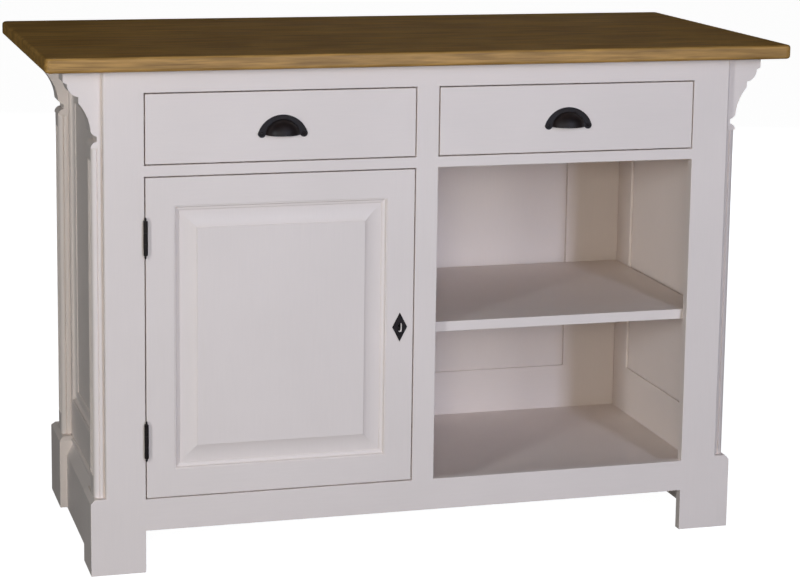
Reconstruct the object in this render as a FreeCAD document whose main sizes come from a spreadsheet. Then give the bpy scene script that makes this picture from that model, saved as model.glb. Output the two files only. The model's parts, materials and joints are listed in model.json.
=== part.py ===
"""Kitchen island unit: a painted framed cabinet under a stained wooden worktop.

Millimetres.  +X is right, the front faces -Y and +Z is up.  The origin is on the floor
under the middle of the worktop.  Pieces that have a twin are drawn on the left side and
mirrored across the YZ plane.
"""
import FreeCAD, Part
import math
import os

import Sketcher

doc = FreeCAD.newDocument("kitchen_island")
sheet = doc.addObject("Spreadsheet::Sheet", "sizes")


# ------------------------------------------------------------------ sizes
class Size:
    """A length that knows its value and its formula in the sheet's names."""

    def __init__(self, text, value):
        self.text = text
        self.value = value

    def combine(self, other, sign, value):
        return Size("(%s %s %s)" % (self.text, sign, other.text), value)

    def __add__(self, other):
        other = as_size(other)
        return self.combine(other, "+", self.value + other.value)

    def __sub__(self, other):
        other = as_size(other)
        return self.combine(other, "-", self.value - other.value)

    def __mul__(self, factor):
        factor = as_size(factor)
        return self.combine(factor, "*", self.value * factor.value)

    def __truediv__(self, factor):
        factor = as_size(factor)
        return self.combine(factor, "/", self.value / factor.value)

    def __neg__(self):
        return self * -1

    def __radd__(self, other):
        return as_size(other) + self

    def __rsub__(self, other):
        return as_size(other) - self

    __rmul__ = __mul__


def as_size(number):
    if isinstance(number, Size):
        return number
    return Size(repr(number), float(number))


def size(alias, value):
    """Write one driving size into the sheet and return it."""
    row = size.rows = getattr(size, "rows", 0) + 1
    sheet.set("A%d" % row, alias)
    sheet.set("B%d" % row, str(value))
    sheet.setAlias("B%d" % row, alias)
    return Size("sizes." + alias, float(value))


# Worktop
worktop_length = size("worktop_length", 1330)
worktop_depth = size("worktop_depth", 638)
worktop_thick = size("worktop_thick", 25)
worktop_edge_radius = size("worktop_edge_radius", 5.5)
worktop_corner_radius = size("worktop_corner_radius", 12)
front_overhang = size("front_overhang", 42)
side_overhang = size("side_overhang", 100)
rear_overhang = size("rear_overhang", 104)

# Cabinet body and its face frame
body_height = size("body_height", 875)
face_thick = size("face_thick", 18)
stile_width = size("stile_width", 69)
stile_arris_radius = size("stile_arris_radius", 4)
centre_stile_width = size("centre_stile_width", 40)
top_rail_height = size("top_rail_height", 40)
drawer_opening_height = size("drawer_opening_height", 123)
middle_rail_height = size("middle_rail_height", 19)
bottom_rail_height = size("bottom_rail_height", 56)
foot_clearance = size("foot_clearance", 75)

# Framed sides and back
side_thick = size("side_thick", 20)
side_stile_width = size("side_stile_width", 86)
side_top_rail_height = size("side_top_rail_height", 86)
side_bottom_rail_height = size("side_bottom_rail_height", 129)
panel_recess = size("panel_recess", 9)
panel_thick = size("panel_thick", 6)
groove_depth = size("groove_depth", 8)
groove_play = size("groove_play", 0.1)
back_stile_width = size("back_stile_width", 110)
back_muntin_width = size("back_muntin_width", 90)
back_bottom_rail_height = size("back_bottom_rail_height", 124)
side_mould_width = size("side_mould_width", 21)
side_mould_drop = size("side_mould_drop", 1)

# Inside
floor_thick = size("floor_thick", 18)
floor_drop = size("floor_drop", 19)
partition_thick = size("partition_thick", 18)
shelf_thick = size("shelf_thick", 18)
shelf_top = size("shelf_top", 412)
shelf_setback = size("shelf_setback", 4)
cupboard_shelf_setback = size("cupboard_shelf_setback", 12)
shelf_play = size("shelf_play", 1.5)
pin_radius = size("pin_radius", 2.5)
pin_length = size("pin_length", 16)
pin_hole_depth = size("pin_hole_depth", 7)
pin_play = size("pin_play", 0.05)
pin_inset = size("pin_inset", 40)

# Plinth, pilasters and corbels
block_projection = size("block_projection", 26)
block_height = size("block_height", 136)
block_chamfer_width = size("block_chamfer_width", 7)
block_chamfer_height = size("block_chamfer_height", 8)
front_block_depth = size("front_block_depth", 87)
rear_block_depth = size("rear_block_depth", 96)
rear_foot_width = size("rear_foot_width", 68)
plinth_projection = size("plinth_projection", 13)
plinth_bevel_height = size("plinth_bevel_height", 23)
plinth_bead_height = size("plinth_bead_height", 10)
pilaster_projection = size("pilaster_projection", 18.5)
pilaster_depth = size("pilaster_depth", 46)
pilaster_round = size("pilaster_round", 8)
pilaster_front_inset = size("pilaster_front_inset", 12)
pilaster_rear_inset = size("pilaster_rear_inset", 25)
pilaster_quirk = size("pilaster_quirk", 1.6)
flute_radius = size("flute_radius", 3.8)
flute_pitch = size("flute_pitch", 11.3)
flute_top_margin = size("flute_top_margin", 21)
flute_bottom_margin = size("flute_bottom_margin", 36)
corbel_height = size("corbel_height", 133)
corbel_projection = size("corbel_projection", 64)
corbel_thick = size("corbel_thick", 52)
corbel_cap_height = size("corbel_cap_height", 20.5)
corbel_cap_lip = size("corbel_cap_lip", 7)
corbel_cap_slope = size("corbel_cap_slope", 4)
corbel_neck_height = size("corbel_neck_height", 3.5)
corbel_ovolo_height = size("corbel_ovolo_height", 18)
corbel_band_height = size("corbel_band_height", 10.5)
corbel_hollow_width = size("corbel_hollow_width", 20)
corbel_roll_height = size("corbel_roll_height", 8.5)
corbel_nook_height = size("corbel_nook_height", 8)
corbel_nook_depth = size("corbel_nook_depth", 10.2)
corbel_flare_height = size("corbel_flare_height", 9.2)
corbel_foot_height = size("corbel_foot_height", 2.3)

# Door
door_gap = size("door_gap", 2)
door_thick = size("door_thick", 20)
door_frame_width = size("door_frame_width", 49)
door_panel_depth = size("door_panel_depth", 8)
door_field_depth = size("door_field_depth", 1.5)
door_field_step = size("door_field_step", 1.5)
door_field_margin = size("door_field_margin", 39.5)
door_mould_width = size("door_mould_width", 9)
door_mould_drop = size("door_mould_drop", 1)

# Butt hinges with finials
hinge_knuckle_radius = size("hinge_knuckle_radius", 4.5)
hinge_knuckle_height = size("hinge_knuckle_height", 59)
hinge_pin_radius = size("hinge_pin_radius", 1.6)
hinge_pin_play = size("hinge_pin_play", 0.05)
hinge_face_play = size("hinge_face_play", 0.4)
hinge_segment_play = size("hinge_segment_play", 0.4)
hinge_leaf_thick = size("hinge_leaf_thick", 1.8)
hinge_leaf_width = size("hinge_leaf_width", 14)
hinge_leaf_play = size("hinge_leaf_play", 0.1)
hinge_collar_height = size("hinge_collar_height", 1.8)
hinge_ball_radius = size("hinge_ball_radius", 2.9)
hinge_inset = size("hinge_inset", 102)

# Lock
lock_width = size("lock_width", 36)
lock_height = size("lock_height", 50)
lock_thick = size("lock_thick", 11)
lock_play = size("lock_play", 0.2)
bolt_height = size("bolt_height", 18)
bolt_thick = size("bolt_thick", 5)
bolt_length = size("bolt_length", 28)
bolt_throw = size("bolt_throw", 8)
bolt_play = size("bolt_play", 0.3)
mortise_play = size("mortise_play", 1)
key_radius = size("key_radius", 2.6)
key_slot_width = size("key_slot_width", 2.4)
key_slot_length = size("key_slot_length", 7)
plate_half_width = size("plate_half_width", 13.5)
plate_half_height = size("plate_half_height", 26)
plate_thick = size("plate_thick", 1.6)

# Drawers
drawer_gap = size("drawer_gap", 2)
drawer_front_thick = size("drawer_front_thick", 18)
drawer_side_thick = size("drawer_side_thick", 12)
drawer_side_height = size("drawer_side_height", 100)
drawer_rear_space = size("drawer_rear_space", 24)
drawer_side_inset = size("drawer_side_inset", 1)
drawer_bottom_thick = size("drawer_bottom_thick", 6)
drawer_bottom_raise = size("drawer_bottom_raise", 8)
drawer_groove_depth = size("drawer_groove_depth", 5)
drawer_seat_play = size("drawer_seat_play", 0.3)
runner_thick = size("runner_thick", 18)
runner_reach = size("runner_reach", 6)
guide_height = size("guide_height", 28)
kicker_play = size("kicker_play", 3)
kicker_thick = size("kicker_thick", 20)

# Cup pulls
pull_half_width = size("pull_half_width", 43.5)
pull_half_height = size("pull_half_height", 19.5)
pull_plate_thick = size("pull_plate_thick", 2)
pull_lobe_radius = size("pull_lobe_radius", 6.9)
cup_half_width = size("cup_half_width", 30)
cup_rise = size("cup_rise", 27)
cup_reach = size("cup_reach", 23)
cup_wall = size("cup_wall", 2)
cup_lip_drop = size("cup_lip_drop", 15)
pull_screw_radius = size("pull_screw_radius", 1.8)

# Places worked out from the sizes above
body_width = worktop_length - 2 * side_overhang
front = front_overhang - worktop_depth / 2
face_back = front + face_thick
back = worktop_depth / 2 - rear_overhang
back_inner = back - side_thick
drawer_box_length = back_inner - drawer_rear_space - front - drawer_front_thick
left = -(body_width / 2)
inner_left = left + side_thick
door_bottom = foot_clearance + bottom_rail_height
drawer_top = body_height - top_rail_height
drawer_bottom = drawer_top - drawer_opening_height
door_top = drawer_bottom - middle_rail_height
bay_left = left + stile_width
bay_right = -(centre_stile_width / 2)
partition_left = -(partition_thick / 2)
floor_top = door_bottom - floor_drop
pilaster_height = body_height - corbel_height - block_height
shelf_bottom = shelf_top - shelf_thick
floor = as_size(0)

parts = {}


# ------------------------------------------------------------------ building helpers
def bind(thing, path, length):
    thing.setExpression(path, as_size(length).text)


def place(thing, x, y, z):
    for axis, length in zip("xyz", (x, y, z)):
        bind(thing, "Placement.Base." + axis, length)


def keep(label, thing):
    """Give a finished piece its own name and list it for writing."""
    thing.Label = label
    parts[label] = thing
    return thing


def board(name, x, y, z, along_x, along_y, along_z):
    """A straight-edged piece with its low corner at x, y, z."""
    box = doc.addObject("Part::Box", name)
    bind(box, "Length", along_x)
    bind(box, "Width", along_y)
    bind(box, "Height", along_z)
    place(box, x, y, z)
    return box


def cylinder(name, x, y, z, radius, height, axis=(0, 0, 1), turn=0):
    """A round bar from x, y, z; its own Z axis is turned about `axis`."""
    bar = doc.addObject("Part::Cylinder", name)
    bind(bar, "Radius", radius)
    bind(bar, "Height", height)
    bar.Placement = FreeCAD.Placement(FreeCAD.Vector(), FreeCAD.Rotation(FreeCAD.Vector(*axis), turn))
    place(bar, x, y, z)
    return bar


def cut(name, base, *tools):
    """The base less each tool in turn."""
    for number, tool in enumerate(tools):
        result = doc.addObject("Part::Cut", "%s_cut_%d" % (name, number + 1))
        result.Base = base
        result.Tool = tool
        base = result
    return base


def fuse(name, *shapes):
    result = doc.addObject("Part::MultiFuse", name + "_fuse")
    result.Shapes = list(shapes)
    result.Refine = True
    return result


def group(name, *pieces):
    """Several separate solids kept under one name."""
    result = doc.addObject("Part::Compound", name + "_set")
    result.Links = list(pieces)
    return result


def mirror(name, piece):
    """The right-hand twin of a left-hand piece."""
    twin = doc.addObject("Part::Mirroring", name + "_twin")
    twin.Source = piece
    twin.Base = (0, 0, 0)
    twin.Normal = (1, 0, 0)
    return twin


def keep_pair(pattern, piece):
    """Keep a left-hand piece and its mirrored twin; the pattern has one %s."""
    keep(pattern % "left", piece)
    keep(pattern % "right", mirror(pattern % "right", piece))


def new_body(name, x, y, z, axis=(0, 0, 1), turn=0):
    body = doc.addObject("PartDesign::Body", name + "_body")
    body.Placement = FreeCAD.Placement(FreeCAD.Vector(), FreeCAD.Rotation(FreeCAD.Vector(*axis), turn))
    place(body, x, y, z)
    return body


def new_sketch(body, plane, offset=None):
    """An empty sketch on one of the body's own planes, moved by an (x, y, z) offset."""
    sketch = body.newObject("Sketcher::SketchObject", body.Name + "_sketch")
    support = [feature for feature in body.Origin.OriginFeatures if feature.Role == plane + "_Plane"][0]
    sketch.AttachmentSupport = [(support, "")]
    sketch.MapMode = "FlatFace"
    if offset:
        for axis, length in zip("xyz", offset):
            bind(sketch, "AttachmentOffset.Base." + axis, length)
    return sketch


def pin_down(sketch, geometry, corner, point):
    """Tie one corner of a curve to its x and y, measured from the sketch's origin."""
    for kind, length in zip(("DistanceX", "DistanceY"), point):
        length = as_size(length)
        index = sketch.addConstraint(Sketcher.Constraint(kind, geometry, corner, length.value))
        sketch.setExpression("Constraints[%d]" % index, length.text)


def vector(point):
    return FreeCAD.Vector(as_size(point[0]).value, as_size(point[1]).value, 0)


def end_of(run):
    """Where a run ends; a run is a point, for a line, or a (middle, end) pair, for an arc."""
    return run[1] if isinstance(run[0], tuple) else run


def bow(start, end, rise):
    """An arc from start to end that stands to the right of its chord by rise times its length."""
    across = end[0] - start[0]
    up = end[1] - start[1]
    middle = ((start[0] + end[0]) / 2 + up * rise, (start[1] + end[1]) / 2 - across * rise)
    return middle, end


def draw(sketch, start, *runs):
    """Draw a closed outline from its start along its runs."""
    if (vector(end_of(runs[-1])) - vector(start)).Length > 1e-6:
        runs += (start,)
    here = start
    curves = []
    for run in runs:
        end = end_of(run)
        if end is run:
            index = sketch.addGeometry(Part.LineSegment(vector(here), vector(end)))
            ends = (1, 2)
        else:
            middle = run[0]
            index = sketch.addGeometry(Part.Arc(vector(here), vector(middle), vector(end)))
            started = (sketch.getPoint(index, 1) - vector(here)).Length < 1e-6
            ends = (1, 2) if started else (2, 1)
            guide = sketch.addGeometry(Part.Point(vector(middle)), True)
            sketch.addConstraint(Sketcher.Constraint("PointOnObject", guide, 1, index))
            pin_down(sketch, guide, 1, middle)
        pin_down(sketch, index, ends[0], here)
        curves.append((index, ends))
        here = end
    for (first, first_ends), (second, second_ends) in zip(curves, curves[1:] + curves[:1]):
        joint = Sketcher.Constraint("Coincident", first, first_ends[1], second, second_ends[0])
        sketch.addConstraint(joint)


def rectangle(sketch, low_x, low_y, high_x, high_y):
    draw(sketch, (low_x, low_y), (high_x, low_y), (high_x, high_y), (low_x, high_y))


def pad(body, sketch, length, reverse=False):
    feature = body.newObject("PartDesign::Pad", body.Name + "_pad")
    feature.Profile = sketch
    feature.Reversed = reverse
    bind(feature, "Length", length)
    body.Tip = feature
    doc.recompute()
    return feature


def edge_names(shape, wanted):
    """The names of the edges for which wanted(edge) is true."""
    return ["Edge%d" % (n + 1) for n, edge in enumerate(shape.Edges) if wanted(edge)]


def soften(body, base, radius, wanted):
    fillet = body.newObject("PartDesign::Fillet", body.Name + "_fillet")
    fillet.Base = (base, edge_names(base.Shape, wanted))
    bind(fillet, "Radius", radius)
    body.Tip = fillet
    doc.recompute()
    return fillet


def profile_bar(name, plane_outline, length, x, y, z, axis=(0, 0, 1), turn=0):
    """A moulding: an outline in its XZ plane run along its own +Y."""
    body = new_body(name, x, y, z, axis, turn)
    sketch = new_sketch(body, "XZ")
    draw(sketch, *plane_outline)
    pad(body, sketch, length, reverse=True)
    return body


# ------------------------------------------------------------------ worktop
def make_worktop():
    body = new_body("worktop", floor, floor, body_height)
    sketch = new_sketch(body, "XY")
    half_length = worktop_length / 2
    half_depth = worktop_depth / 2
    rectangle(sketch, -half_length, -half_depth, half_length, half_depth)
    slab = pad(body, sketch, worktop_thick)
    upright = soften(body, slab, worktop_corner_radius,
                     lambda e: abs(e.Vertexes[0].Z - e.Vertexes[-1].Z) > 1)
    soften(body, upright, worktop_edge_radius,
           lambda e: abs(e.BoundBox.ZMax - e.BoundBox.ZMin) < 0.01)
    keep("worktop", body)


# ------------------------------------------------------------------ face frame
def make_face_frame(hinge_recesses, mortise):
    stile = make_stile()
    keep("face_stile_left", cut("face_stile_left", stile, *hinge_recesses))
    keep("face_stile_right", mirror("face_stile_right", stile))
    centre = board("face_stile_centre", bay_right, front, door_bottom,
                   centre_stile_width, face_thick, drawer_top - door_bottom)
    keep("face_stile_centre", cut("face_stile_centre", centre, mortise))
    span = body_width - 2 * stile_width
    top_rail = board("face_rail_top", bay_left, front, drawer_top, span, face_thick, top_rail_height)
    keep("face_rail_top", top_rail)
    bottom_rail = board("face_rail_bottom", bay_left, front, foot_clearance,
                        span, face_thick, bottom_rail_height)
    keep("face_rail_bottom", bottom_rail)
    middle = board("face_rail_middle", bay_left, front, door_top,
                   bay_right - bay_left, face_thick, middle_rail_height)
    pair = group("face_rails_middle", middle, mirror("face_rail_middle_right", middle))
    keep("face_rails_middle", pair)


def make_stile():
    """The outer stile: a square post whose outer front arris is rounded above the plinth."""
    body = new_body("face_stile", left, front, floor)
    plan = new_sketch(body, "XY")
    rectangle(plan, floor, floor, stile_width, face_thick)
    pad(body, plan, body_height)
    corner = new_sketch(body, "XY", offset=(floor, floor, block_height))
    across = (stile_arris_radius, floor)
    along = (floor, stile_arris_radius)
    draw(corner, (floor, floor), across, bow(across, along, (1 - math.sqrt(2)) / 2))
    doc.recompute()
    rounding = body.newObject("PartDesign::Pocket", "face_stile_rounding")
    rounding.Profile = corner
    rounding.Reversed = True
    bind(rounding, "Length", body_height - block_height)
    body.Tip = rounding
    doc.recompute()
    return body


# ------------------------------------------------------------------ framed sides
side_front = face_back + side_stile_width
side_rear = back - side_stile_width
side_low = foot_clearance + side_bottom_rail_height
side_high = body_height - side_top_rail_height
side_panel_x = left + panel_recess


def shelf_pin(name, x, y):
    """A round pin lying along X, with half of it under a shelf."""
    return cylinder(name, x, y, shelf_bottom - pin_radius - pin_play, pin_radius, pin_length,
                    axis=(0, 1, 0), turn=90)


def pin_hole(name, x, y):
    return cylinder(name, x, y, shelf_bottom - pin_radius - pin_play, pin_radius + pin_play,
                    pin_hole_depth + pin_play, axis=(0, 1, 0), turn=90)


pin_rows = (face_back + pin_inset, back_inner - pin_inset)


def make_side():
    groove = board("side_groove", side_panel_x - groove_play, side_front - groove_depth,
                   side_low - groove_depth, panel_thick + 2 * groove_play,
                   side_rear - side_front + 2 * groove_depth,
                   side_high - side_low + 2 * groove_depth)
    stiles = []
    for place_name, y, pin_y in (("front", face_back, pin_rows[0]), ("rear", side_rear, pin_rows[1])):
        name = "side_stile_" + place_name
        post = board(name, left, y, foot_clearance, side_thick, side_stile_width,
                     body_height - foot_clearance)
        hole = pin_hole(name + "_hole", inner_left - pin_hole_depth - pin_play, pin_y)
        stiles.append(cut(name, post, groove, hole))
    keep_pair("side_%s_stiles", group("side_stiles", *stiles))
    rails = []
    for place_name, z, height in (("top", side_high, side_top_rail_height),
                                  ("bottom", foot_clearance, side_bottom_rail_height)):
        name = "side_rail_" + place_name
        rail = board(name, left, side_front, z, side_thick, side_rear - side_front, height)
        rails.append(cut(name, rail, groove))
    keep_pair("side_%s_rails", group("side_rails", *rails))
    reach = groove_depth - groove_play
    panel = board("side_panel", side_panel_x, side_front - reach, side_low - reach,
                  panel_thick, side_rear - side_front + 2 * reach, side_high - side_low + 2 * reach)
    keep_pair("side_%s_panel", panel)
    height = panel_recess - side_mould_drop
    keep_pair("side_%s_moulding", moulding_ring(
        "side_moulding", side_mould_width, height, side_rear - side_front, side_high - side_low,
        side_panel_x, side_rear, side_low, quarter_turns=1))


def moulding_ring(name, width, height, along, up, x, y, z, quarter_turns=0):
    """A planted moulding mitred round an opening of size along x up.

    It is drawn standing on its own XZ plane, proud towards its own -Y: a flat fillet by the
    frame, a small step, a round and a shallow slope down to the panel.  The profile lies
    half-way along the foot of the opening, and the path is the opening's edge.
    """
    body = new_body(name, x, y, z, turn=-90 * quarter_turns)
    path = new_sketch(body, "XZ")
    rectangle(path, floor, floor, along, up)
    profile = new_sketch(body, "YZ", offset=(floor, floor, along / 2))
    fillet = width / 5
    shoulder = (-height * 0.8, fillet)
    waist = (-height * 0.35, width * 0.6)
    toe = (-height * 0.15, width)
    draw(profile,
         (floor, floor),
         (-height, floor),
         (-height, fillet),
         shoulder,
         bow(shoulder, waist, 0.18),
         bow(waist, toe, -0.1),
         (floor, width))
    doc.recompute()
    pipe = body.newObject("PartDesign::AdditivePipe", name + "_pipe")
    pipe.Profile = profile
    pipe.Spine = (path, ["Edge1", "Edge2", "Edge3", "Edge4"])
    pipe.Transition = "Right corner"
    body.Tip = pipe
    doc.recompute()
    return body


# ------------------------------------------------------------------ framed back
def make_back():
    low = foot_clearance + back_bottom_rail_height
    high = side_high
    inner = -(back_muntin_width / 2)
    outer = inner_left + back_stile_width
    panel_y = back - panel_recess - panel_thick
    groove = board("back_groove", outer - groove_depth, panel_y - groove_play, low - groove_depth,
                   inner - outer + 2 * groove_depth, panel_thick + 2 * groove_play,
                   high - low + 2 * groove_depth)
    groove_twin = mirror("back_groove_right", groove)
    stile = cut("back_stile", board("back_stile", inner_left, back_inner, foot_clearance,
                                    back_stile_width, side_thick, body_height - foot_clearance),
                groove)
    muntin = cut("back_muntin", board("back_muntin", inner, back_inner, low,
                                      back_muntin_width, side_thick, high - low),
                 groove, groove_twin)
    keep("back_stiles", group("back_stiles", stile, muntin, mirror("back_stile_right", stile)))
    rails = []
    for place_name, z, height in (("top", high, side_top_rail_height),
                                  ("bottom", foot_clearance, back_bottom_rail_height)):
        name = "back_rail_" + place_name
        rail = board(name, outer, back_inner, z, -2 * outer, side_thick, height)
        rails.append(cut(name, rail, groove, groove_twin))
    keep("back_rails", group("back_rails", *rails))
    reach = groove_depth - groove_play
    panel = board("back_panel", outer - reach, panel_y, low - reach,
                  inner - outer + 2 * reach, panel_thick, high - low + 2 * reach)
    keep("back_panels", group("back_panels", panel, mirror("back_panel_right", panel)))


# ------------------------------------------------------------------ plinth, pilasters, corbels
def plinth_outline():
    """Skirting section: an upright face, a long bevel, a quirk and a small bead."""
    lip = plinth_bead_height * 0.1
    bead_foot = block_height - plinth_bead_height
    bevel_top = bead_foot - lip
    bevel_foot = bevel_top - plinth_bevel_height
    return ((floor, floor),
            (-plinth_projection, floor),
            (-plinth_projection, bevel_foot),
            (-lip, bevel_top),
            (-lip, bead_foot),
            bow((-lip, bead_foot), (-lip, block_height), -0.35),
            (floor, block_height))


def make_plinth():
    rear_block_front = back - rear_block_depth
    front_block_rear = front + front_block_depth
    rail = profile_bar("plinth_rail_side", plinth_outline(), rear_block_front - front_block_rear,
                       left, front_block_rear, floor)
    keep_pair("plinth_rail_%s", rail)
    foot_end = left + rear_foot_width
    keep("plinth_rail_back", profile_bar("plinth_rail_back", plinth_outline(), -2 * foot_end,
                                         foot_end, back, floor, turn=-90))
    shoulder = block_height - block_chamfer_height
    outline = ((floor, floor),
               (-block_projection, floor),
               (-block_projection, shoulder),
               (block_chamfer_width - block_projection, block_height),
               (floor, block_height))
    keep_pair("plinth_block_front_%s", profile_bar("plinth_block_front", outline, front_block_depth,
                                                   left, front, floor))
    body = new_body("plinth_block_rear", left, back, floor)
    sketch = new_sketch(body, "XY")
    draw(sketch,
         (floor, floor),
         (floor, -rear_block_depth),
         (-block_projection, -rear_block_depth),
         (-block_projection, block_projection),
         (rear_foot_width, block_projection),
         (rear_foot_width, floor))
    block = pad(body, sketch, block_height)

    def outer_top(edge):
        middle = edge.CenterOfMass
        on_top = edge.BoundBox.ZMin > block_height.value - 0.01
        return on_top and (middle.x < -0.01 or middle.y > 0.01)

    chamfer = body.newObject("PartDesign::Chamfer", "plinth_block_rear_chamfer")
    chamfer.Base = (block, edge_names(block.Shape, outer_top))
    bind(chamfer, "Size", block_chamfer_width)
    body.Tip = chamfer
    doc.recompute()
    keep_pair("plinth_block_rear_%s", body)


def make_pilaster(name, y):
    """A fluted pilaster: beads on its edges and stopped flutes down its outer face."""
    body = new_body(name, left, y, block_height)
    sketch = new_sketch(body, "XY")
    wide = pilaster_projection
    deep = pilaster_depth
    quirk_x = -wide * 0.45
    half_quirk = pilaster_quirk * 0.7

    def half(mirror_y):
        """The points of the front bead and corner, or of the rear ones in reverse."""
        return [(floor, mirror_y(floor)),
                ((quirk_x + half_quirk) / 2, mirror_y(-pilaster_quirk * 0.5)),
                (quirk_x + half_quirk, mirror_y(floor)),
                (quirk_x, mirror_y(pilaster_quirk)),
                (quirk_x - half_quirk, mirror_y(floor)),
                (-wide + pilaster_round * 0.32, mirror_y(pilaster_round * 0.28)),
                (-wide, mirror_y(pilaster_round))]

    front_points = half(lambda v: v + pilaster_quirk * 0.5)
    rear_points = half(lambda v: deep - pilaster_quirk * 0.5 - v)
    f0, f1, f2, f3, f4, f5, f6 = front_points
    r0, r1, r2, r3, r4, r5, r6 = rear_points
    draw(sketch, f0, (f1, f2), f3, f4, (f5, f6), r6, (r5, r4), r3, r2, (r1, r0))
    pad(body, sketch, pilaster_height)

    first_flute = deep / 2 - flute_pitch
    flute = new_sketch(body, "YZ", offset=(first_flute, floor, -wide))
    low = flute_bottom_margin
    high = pilaster_height - flute_top_margin
    diagonal = flute_radius * 0.70710678
    draw(flute,
         (floor, low),
         ((diagonal, low + flute_radius - diagonal), (flute_radius, low + flute_radius)),
         (flute_radius, high - flute_radius),
         ((diagonal, high - flute_radius + diagonal), (floor, high)))
    doc.recompute()
    groove = body.newObject("PartDesign::Groove", name + "_flute")
    groove.Profile = flute
    groove.ReferenceAxis = (flute, ["V_Axis"])
    groove.Angle = 360
    body.Tip = groove
    doc.recompute()
    row = body.newObject("PartDesign::LinearPattern", name + "_flutes")
    row.Originals = [groove]
    row.Direction = (flute, ["H_Axis"])
    row.Occurrences = 3
    bind(row, "Length", 2 * flute_pitch)
    body.Tip = row
    doc.recompute()
    return body


def make_corbel(name, y):
    """A sawn corbel: from the top a cap, a neck, an ovolo, a band, a long hollow and a roll."""
    body = new_body(name, left, y, body_height - corbel_height)
    sketch = new_sketch(body, "XZ")
    foot = -pilaster_projection
    nook = foot + corbel_nook_depth
    band = foot - corbel_hollow_width
    neck = corbel_cap_lip - corbel_projection
    flare_top = corbel_foot_height + corbel_flare_height
    roll_low = flare_top + corbel_nook_height
    hollow_low = roll_low + corbel_roll_height
    cap_low = corbel_height - corbel_cap_height
    neck_high = cap_low - corbel_cap_slope
    neck_low = neck_high - corbel_neck_height
    band_high = neck_low - corbel_ovolo_height
    band_low = band_high - corbel_band_height
    draw(sketch,
         (floor, floor),
         (foot, floor),
         (foot, corbel_foot_height),
         bow((foot, corbel_foot_height), (nook, flare_top), -0.16),
         (nook, roll_low),
         bow((nook, roll_low), (foot, hollow_low), -0.1),
         bow((foot, hollow_low), (band, band_low), 0.08),
         (band, band_high),
         bow((band, band_high), (neck, neck_low), -0.16),
         (neck, neck_high),
         (-corbel_projection, cap_low),
         (-corbel_projection, corbel_height),
         (floor, corbel_height))
    pad(body, sketch, corbel_thick, reverse=True)
    return body


def make_pilasters_and_corbels():
    rear = back - pilaster_rear_inset - pilaster_depth
    lead = (corbel_thick - pilaster_depth) / 2
    for where, y, corbel_y in (("front", front + pilaster_front_inset, front + pilaster_front_inset),
                               ("rear", rear, rear - lead)):
        keep_pair("pilaster_" + where + "_%s", make_pilaster("pilaster_" + where, y))
        keep_pair("corbel_" + where + "_%s", make_corbel("corbel_" + where, corbel_y))


# ------------------------------------------------------------------ inside
def make_inside():
    inner_depth = back_inner - face_back
    keep("floor_board", board("floor_board", inner_left, face_back, floor_top - floor_thick,
                              -2 * inner_left, inner_depth, floor_thick))
    wall = board("partition", partition_left, face_back, floor_top,
                 partition_thick, inner_depth, body_height - floor_top)
    holes = []
    pins = []
    for number, y in enumerate(pin_rows):
        at_side = inner_left - pin_hole_depth
        at_wall = partition_left - pin_length + pin_hole_depth
        holes.append(pin_hole("partition_hole_%d" % number, partition_left - pin_play, y))
        pins.append(shelf_pin("shelf_pin_side_%d" % number, at_side, y))
        pins.append(shelf_pin("shelf_pin_wall_%d" % number, at_wall, y))
    holes += [mirror(hole.Name + "_right", hole) for hole in holes]
    keep("partition", cut("partition", wall, *holes))
    pins += [mirror(pin.Name + "_right", pin) for pin in pins]
    keep("shelf_pins", group("shelf_pins", *pins))

    width = partition_left - inner_left - 2 * shelf_play
    for name, setback, low in (
            ("shelf_cupboard", cupboard_shelf_setback, inner_left + shelf_play),
            ("shelf_open_bay", shelf_setback, -partition_left + shelf_play)):
        shelf = board(name, low, face_back + setback, shelf_bottom,
                      width, inner_depth - setback - shelf_play, shelf_thick)
        keep(name, shelf)


def make_runners():
    """Ledges that carry the drawer sides, with guides beside them, and kickers above."""
    box_left = bay_left + drawer_gap + drawer_side_inset
    box_right = bay_right - drawer_gap - drawer_side_inset
    reach = drawer_side_thick + runner_reach
    ledge = drawer_bottom - runner_thick
    depth = back_inner - face_back
    runners = []
    kickers = []
    for side, wall, out, box_edge in (("outer", inner_left, 1, box_left),
                                      ("inner", partition_left, -1, box_right)):
        guide_face = (box_edge - wall) * out - drawer_seat_play
        wide = (box_edge - wall) * out + reach
        outline = ((floor, floor),
                   (wide * out, floor),
                   (wide * out, runner_thick),
                   (guide_face * out, runner_thick),
                   (guide_face * out, runner_thick + guide_height),
                   (floor, runner_thick + guide_height))
        runners.append(profile_bar("drawer_runner_" + side, outline, depth, wall, face_back, ledge))
        low = wall if out > 0 else wall - wide
        kicker_z = drawer_bottom + drawer_seat_play + drawer_side_height + kicker_play
        kickers.append(board("drawer_kicker_" + side, low, face_back, kicker_z,
                             wide, depth, kicker_thick))
    runners += [mirror(runner.Name + "_right", runner) for runner in runners]
    kickers += [mirror(kicker.Name + "_right", kicker) for kicker in kickers]
    keep("drawer_runners", group("drawer_runners", *runners))
    keep("drawer_kickers", group("drawer_kickers", *kickers))


# ------------------------------------------------------------------ door
door_left = bay_left + door_gap
door_right = bay_right - door_gap
door_low = door_bottom + door_gap
door_high = door_top - door_gap
hinge_x = bay_left + door_gap / 2
hinge_y = front - hinge_knuckle_radius - hinge_face_play
hinge_lows = (door_low + hinge_inset - hinge_knuckle_height / 2,
              door_high - hinge_inset - hinge_knuckle_height / 2)
lock_z = (door_low + door_high) / 2
key_x = door_right - door_frame_width / 2


def hinge_recess(name, x, low):
    """The shallow housing for one leaf, open at the front."""
    play = hinge_leaf_play
    return board(name, x, front - play, low - play, hinge_leaf_thick + play,
                 hinge_leaf_width + 2 * play, hinge_knuckle_height + 2 * play)


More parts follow.
